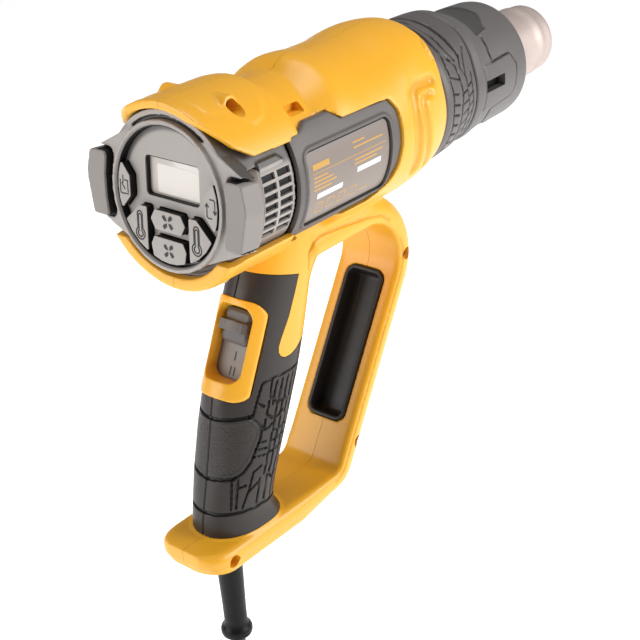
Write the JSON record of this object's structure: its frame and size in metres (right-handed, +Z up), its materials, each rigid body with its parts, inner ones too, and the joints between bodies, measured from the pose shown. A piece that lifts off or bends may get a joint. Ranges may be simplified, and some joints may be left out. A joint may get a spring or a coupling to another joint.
{
  "type": "heat gun",
  "caption": "Hand-held electric heat gun with a round barrel, rear control panel with display, closed D-shaped hand guard, slide switch and steel nozzle.",
  "frame": {"origin": "middle of the handle, where a hand holds the gun", "axes": "+X forward along the barrel to the nozzle, +Y to the left, +Z up from the handle to the barrel"},
  "size_m": [0.3561, 0.123, 0.3702],
  "materials": {
    "amber_plastic": "moulded amber-yellow plastic with a fine satin texture",
    "grey_plastic": "warm dark grey moulded plastic, finely textured",
    "black_plastic": "black moulded plastic",
    "soft_grip": "soft overmoulded grip, dark grey",
    "soft_rubber": "matt dark rubber",
    "label_foil": "satin dark grey rating foil",
    "display_lens": "pale glossy display window",
    "steel": "bright zinc-plated steel",
    "nozzle_steel": "heat-tinted stainless steel",
    "ceramic": "off-white heater ceramic",
    "mica": "pale brown mica sheet",
    "circuit_board": "green circuit board",
    "cord_sheath": "matt black rubber sheath"
  },
  "bodies": {
    "gun": {"case_screw_1": "steel", "case_screw_2": "steel", "case_screw_3": "steel", "case_screw_4": "steel", "case_screw_5": "steel", "control_board": "circuit_board", "control_disc": "black_plastic", "cord": "cord_sheath", "cord_clamp": "black_plastic", "cord_coil": "cord_sheath", "cord_tail": "cord_sheath", "cord_tie": "soft_rubber", "ear_pad_left": "soft_rubber", "ear_pad_right": "soft_rubber", "front_collar": "soft_rubber", "grip_left": "soft_grip", "grip_right": "soft_grip", "guard_tray": "soft_rubber", "heat_shield": "grey_plastic", "heater_coil": "steel", "heater_core": "ceramic", "housing_left": "amber_plastic", "housing_right": "amber_plastic", "label_plate_left": "label_foil", "label_plate_right": "label_foil", "lcd_lens": "display_lens", "lcd_module": "black_plastic", "mica_tube": "mica", "motor": "steel", "motor_mount": "black_plastic", "nozzle_flange": "steel", "nozzle_tube": "nozzle_steel", "plug_body": "black_plastic", "plug_pin_1": "steel", "plug_pin_2": "steel", "rear_cover": "grey_plastic", "side_panel_left": "grey_plastic", "side_panel_right": "grey_plastic", "strain_relief": "black_plastic", "switch_bezel": "amber_plastic", "switch_body": "black_plastic", "switch_scale": "grey_plastic"},
    "fan_rotor": {"fan": "black_plastic"},
    "slider": {"switch_slider": "grey_plastic"},
    "key_power": {"button_power": "grey_plastic"},
    "key_set": {"button_set": "grey_plastic"},
    "key_heat_down": {"button_heat_down": "grey_plastic"},
    "key_heat_up": {"button_heat_up": "grey_plastic"},
    "key_air_up": {"button_air_up": "grey_plastic"},
    "key_air_down": {"button_air_down": "grey_plastic"}
  },
  "joints": [
    {"name": "fan_spin", "type": "hinge", "parent": "gun", "child": "fan_rotor", "pos_m": [0.08, 0, 0.115], "axis": [1, 0, 0], "continuous": true},
    {"name": "power_slide", "type": "slide", "parent": "gun", "child": "slider", "axis": [-0.4403, 0, -0.8979], "range_m": [0, 0.014]},
    {"name": "power_press", "type": "slide", "parent": "gun", "child": "key_power", "axis": [0.9953, 0, -0.0964], "range_m": [0, 0.001], "stiffness_N_per_m": 200},
    {"name": "set_press", "type": "slide", "parent": "gun", "child": "key_set", "axis": [0.9953, 0, -0.0964], "range_m": [0, 0.001], "stiffness_N_per_m": 200},
    {"name": "heat_down_press", "type": "slide", "parent": "gun", "child": "key_heat_down", "axis": [0.9953, 0, -0.0964], "range_m": [0, 0.001], "stiffness_N_per_m": 200},
    {"name": "heat_up_press", "type": "slide", "parent": "gun", "child": "key_heat_up", "axis": [0.9953, 0, -0.0964], "range_m": [0, 0.001], "stiffness_N_per_m": 200},
    {"name": "air_up_press", "type": "slide", "parent": "gun", "child": "key_air_up", "axis": [0.9953, 0, -0.0964], "range_m": [0, 0.001], "stiffness_N_per_m": 200},
    {"name": "air_down_press", "type": "slide", "parent": "gun", "child": "key_air_down", "axis": [0.9953, 0, -0.0964], "range_m": [0, 0.001], "stiffness_N_per_m": 200}
  ]
}
